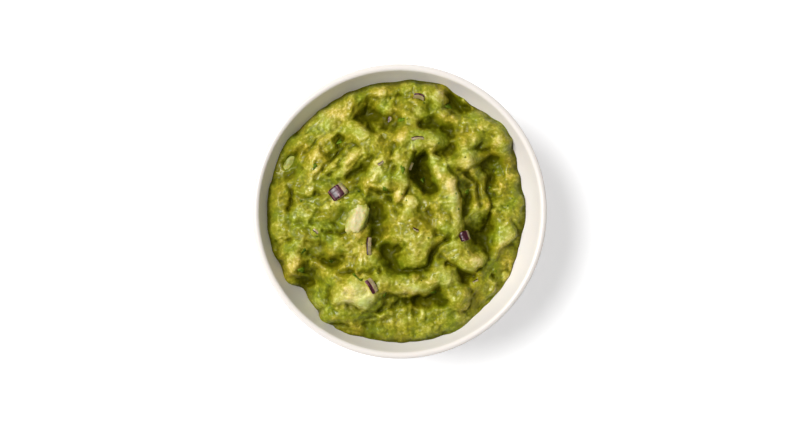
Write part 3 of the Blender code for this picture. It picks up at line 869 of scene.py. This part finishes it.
def make_onion(heap):
    """The two dice, each a piece of its own, and all the slivers as one piece."""
    surfaces = [onion_flesh(), red_onion_skin()]
    for k, (node, cut) in enumerate(DICE.items()):
        shape = bmesh.new()
        grain_layer = shape.verts.layers.float_vector.new("grain")
        add_slice(shape, grain_layer, heap, cut, 3.3 + k)
        piece = add_object("red_onion_die_" + node.split("_")[-1], shape, surfaces)
        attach(piece, "root")
        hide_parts(node)
    shape = bmesh.new()
    grain_layer = shape.verts.layers.float_vector.new("grain")
    for k, cut in enumerate(SLIVERS):
        add_slice(shape, grain_layer, heap, cut, 9.1 + 1.7 * k)
    piece = add_object("red_onion_slivers", shape, surfaces)
    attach(piece, "root")


def avocado_flesh():
    """A firm piece of avocado: creamy in the middle and yellow green towards its sides, partly its
    own colour and partly painted shade, and darker on the side away from the window, a painted shade.
    """
    made, tree, shader, place = new_material("avocado_flesh")
    # The shade attribute holds the creamy middle, with painted shade on the sides and away from the
    # window.
    shade = add_node(tree, "ShaderNodeAttribute", {"attribute_name": "shade"}).outputs["Fac"]
    mottle = map_range(tree, noise_node(tree, place, 2.2, 3.0), 0.35, 0.65, -0.12, 0.12)
    level = add_node(tree, "ShaderNodeMath", {"operation": "ADD"}, _0=shade, _1=mottle).outputs[0]
    tone = ramp(tree, level, (0.0, "868c3a"), (0.45, "bdbb58"), (0.75, "d3cb82"), (1.0, "dacd9a"))
    tree.links.new(tone, shader.inputs["Base Color"])
    shader.inputs["Roughness"].default_value = 0.38
    shader.inputs["IOR"].default_value = 1.4
    shader.inputs["Subsurface Weight"].default_value = 0.2
    shader.inputs["Subsurface Scale"].default_value = 2.0 * MM
    relief = add_node(tree, "ShaderNodeBump", Strength=0.4, Distance=0.2 * MM,
                      Height=noise_node(tree, place, 0.9, 3.0))
    tree.links.new(relief.outputs["Normal"], shader.inputs["Normal"])
    return made


# A chunk in millimetres: its length is turned from +Y, its middle lies `sunk` under the surface of
# the mash, and `cream` is how creamy its top is.
Chunk = namedtuple("Chunk", "x y across length tall turn sunk cream")
CHUNKS = {
    "avocado_chunk_middle": Chunk(-17.0, -3.2, 8.6, 13.8, 7.0, -20, 1.3, 1.0),
    "avocado_chunk_edge": Chunk(-44.6, 19.4, 6.8, 10.6, 5.0, -33, 1.7, 0.2),
}
CHUNK_DETAIL = 5
CHUNK_ROUND = 0.92  # 1 is an ellipsoid, and less is boxier


def make_chunks(heap):
    """The two firm chunks of avocado, boxy and a little lumpy, half buried in the mash."""
    surface = avocado_flesh()
    for seed, (node, chunk) in enumerate(CHUNKS.items()):
        spot, _ = surface_at(heap, chunk.x, chunk.y)
        shape = bmesh.new()
        bmesh.ops.create_icosphere(shape, subdivisions=CHUNK_DETAIL, radius=1)
        shade_layer = shape.verts.layers.float.new("shade")
        turn = Matrix.Rotation(math.radians(chunk.turn), 3, "Z")
        centre = Vector((chunk.x, chunk.y, 0)) * MM + Vector((0, 0, spot.z - chunk.sunk * MM))
        for vert in shape.verts:
            way = vert.co.copy()
            boxy = Vector([math.copysign(abs(c) ** CHUNK_ROUND, c) for c in way])
            lump = 1 + 0.18 * noise.noise(way * 1.6 + Vector((0, 0, 4.0 * seed)))
            lump += 0.07 * noise.noise(way * 4 + Vector((0, 0, 9.0 + seed)))
            size = Vector((chunk.across / 2, chunk.length / 2, chunk.tall / 2))
            vert.co = centre + turn @ Vector([c * s * lump * MM for c, s in zip(boxy, size)])
            # Olive towards the sides, partly the flesh's own colour and partly painted shade; darker
            # still on +X, away from the window, a painted shade.
            side = max(abs(way.x), abs(way.y) ** 2)
            vert[shade_layer] = chunk.cream * min(1, max(0, 1.5 - 1.45 * side - 0.4 * max(0, way.x)))
        piece = add_object(node.replace("avocado_chunk", "firm_avocado"), shape, [surface])
        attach(piece, "root")
        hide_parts(node)


def coriander_leaf():
    """Chopped coriander leaf: thin, dark fresh green, soft sheen where it is wet."""
    made, tree, shader, place = new_material("coriander_leaf")
    tone = ramp(tree, noise_node(tree, place, 1.5), (0.35, "3c5008"), (0.65, "76941c"))
    tree.links.new(tone, shader.inputs["Base Color"])
    shader.inputs["Roughness"].default_value = 0.5
    shader.inputs["Specular IOR Level"].default_value = 0.12
    return made


# Torn bits of leaf: middle, length and width in millimetres, and the turn of the length.
Leaf = namedtuple("Leaf", "x y length width turn")
LEAVES = (
    Leaf(1.0, 37.4, 4.4, 1.5, 8), Leaf(-24.6, 28.4, 2.4, 1.4, 40), Leaf(-34.4, 18.4, 2.6, 1.6, 70),
    Leaf(-6.0, 9.0, 2.6, 1.6, -30), Leaf(1.2, 17.0, 1.6, 3.6, 10), Leaf(-39.0, -16.0, 2.8, 1.2, 50),
    Leaf(-18.0, -26.0, 3.6, 1.0, -38), Leaf(-15.6, -27.6, 1.8, 0.8, 20), Leaf(-6.0, -34.0, 2.2, 1.0, 60),
    Leaf(-40.0, -24.0, 3.0, 2.2, 10), Leaf(9.6, 13.0, 2.4, 1.6, 80), Leaf(27.6, 8.0, 2.6, 1.4, 70),
    Leaf(20.0, 43.0, 2.8, 1.8, -20), Leaf(-28.0, -20.4, 1.8, 1.0, 0), Leaf(14.0, -33.0, 2.4, 1.2, 15),
)
SPECK_COUNT = 50
SPECK_SIZE = (0.4, 1.0)
SPECK_REACH = 48
LEAF_CORNERS = 10
LEAF_THICK = 0.22
LEAF_RAGGED = 0.28


def add_leaf(shape, heap, leaf, random):
    """A torn, slightly domed bit of leaf that lies on whatever is under it."""
    turn = math.radians(leaf.turn)
    top, under = [], []
    spin = random.uniform(0, math.tau)
    for k in range(LEAF_CORNERS):
        angle = math.tau * k / LEAF_CORNERS
        ragged = 1 + LEAF_RAGGED * math.cos(3 * angle + spin)
        ragged += random.uniform(-LEAF_RAGGED / 2, LEAF_RAGGED / 2)
        a = leaf.length / 2 * ragged * math.cos(angle)
        b = leaf.width / 2 * ragged * math.sin(angle)
        x = leaf.x + a * math.cos(turn) - b * math.sin(turn)
        y = leaf.y + a * math.sin(turn) + b * math.cos(turn)
        spot, _ = surface_at(heap, x, y)
        top.append(shape.verts.new(spot + Vector((0, 0, LEAF_THICK * MM))))
        under.append(shape.verts.new(spot - Vector((0, 0, LEAF_THICK * MM))))
    spot, _ = surface_at(heap, leaf.x, leaf.y)
    crest = shape.verts.new(spot + Vector((0, 0, 1.6 * LEAF_THICK * MM)))
    for k in range(LEAF_CORNERS):
        nxt = (k + 1) % LEAF_CORNERS
        shape.faces.new((top[k], top[nxt], crest))
        shape.faces.new((under[k], under[nxt], top[nxt], top[k]))
    shape.faces.new(under[::-1])


def make_coriander(heap):
    """The torn leaves and the fine crumbs of leaf, as one piece."""
    random = np.random.default_rng(11)
    shape = bmesh.new()
    for leaf in LEAVES:
        add_leaf(shape, heap, leaf, random)
    for _ in range(SPECK_COUNT):
        turn = random.uniform(0, math.tau)
        across = SPECK_REACH * math.sqrt(random.uniform(0, 1))
        size = random.uniform(*SPECK_SIZE)
        speck = Leaf(across * math.cos(turn), across * math.sin(turn), size,
                     size * random.uniform(0.4, 0.9), random.uniform(0, 180))
        add_leaf(shape, heap, speck, random)
    piece = add_object("coriander_bits", shape, [coriander_leaf()])
    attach(piece, "root")


# ---------------------------------------------------------------------------------- the set

FLOOR_SIZE = 4.0
FLOOR_GLOW = 0.36
ROOM_LIGHT = 0.27
WINDOW_ELEVATION = math.radians(60)
WINDOW_AZIMUTH = math.radians(160)
CAMERA_PLACE = (-2.7 * MM, -3.5 * MM, RIM_Z + 887 * MM)
CAMERA_LENS = 100
CAMERA_SENSOR = 36


def white_table():
    """A matte white sweep that burns out to plain white but keeps the soft shadow."""
    made = bpy.data.materials.new("white_sweep")
    made.use_nodes = True
    tree = made.node_tree
    tree.nodes.clear()
    paint = add_node(tree, "ShaderNodeBsdfDiffuse", Color=hex_colour("fafafa"))
    glow = add_node(tree, "ShaderNodeEmission", Color=(1, 1, 1, 1))
    seen = add_node(tree, "ShaderNodeLightPath").outputs["Is Camera Ray"]
    strength = add_node(tree, "ShaderNodeMath", {"operation": "MULTIPLY"}, _0=seen, _1=FLOOR_GLOW)
    tree.links.new(strength.outputs[0], glow.inputs["Strength"])
    both = add_node(tree, "ShaderNodeAddShader", _0=paint.outputs[0], _1=glow.outputs[0])
    add_node(tree, "ShaderNodeOutputMaterial", Surface=both.outputs[0])
    return made


def add_window(name, strength, width):
    """Soft light from the window on the left, as a sun that looks `width` degrees wide."""
    lamp = bpy.data.lights.new(name, "SUN")
    lamp.energy = strength
    lamp.angle = math.radians(width)
    made = bpy.data.objects.new(name, lamp)
    towards = Vector((math.cos(WINDOW_ELEVATION) * math.cos(WINDOW_AZIMUTH),
                      math.cos(WINDOW_ELEVATION) * math.sin(WINDOW_AZIMUTH),
                      math.sin(WINDOW_ELEVATION)))
    made.rotation_euler = towards.to_track_quat("Z", "Y").to_euler()
    bpy.context.scene.collection.objects.link(made)
    return made


def make_set():
    """The white table, an even white room, the window, and the camera straight above."""
    shape = bmesh.new()
    bmesh.ops.create_grid(shape, x_segments=1, y_segments=1, size=FLOOR_SIZE)
    floor = add_object("table_top", shape, [white_table()], smooth=False)

    world = bpy.data.worlds.new("white_room")
    world.use_nodes = True
    background = world.node_tree.nodes["Background"]
    background.inputs["Color"].default_value = (1, 1, 1, 1)
    background.inputs["Strength"].default_value = ROOM_LIGHT
    bpy.context.scene.world = world

    add_window("window_light", 3.05, 30)
    # The narrow core of the window only makes small bright glints on what is wet.
    glints = add_window("window_glints", 0.6, 4)
    glints.visible_diffuse = False
    glints.visible_transmission = False

    lens = bpy.data.cameras.new("overhead")
    lens.lens = CAMERA_LENS
    lens.sensor_width = CAMERA_SENSOR
    camera = bpy.data.objects.new("overhead", lens)
    camera.location = CAMERA_PLACE
    bpy.context.scene.collection.objects.link(camera)
    bpy.context.scene.camera = camera
    bpy.context.scene.view_settings.view_transform = "Standard"


make_bowl()
heap = make_heap()
bpy.context.view_layer.update()
make_onion(heap)
make_chunks(heap)
make_coriander(heap)
make_set()
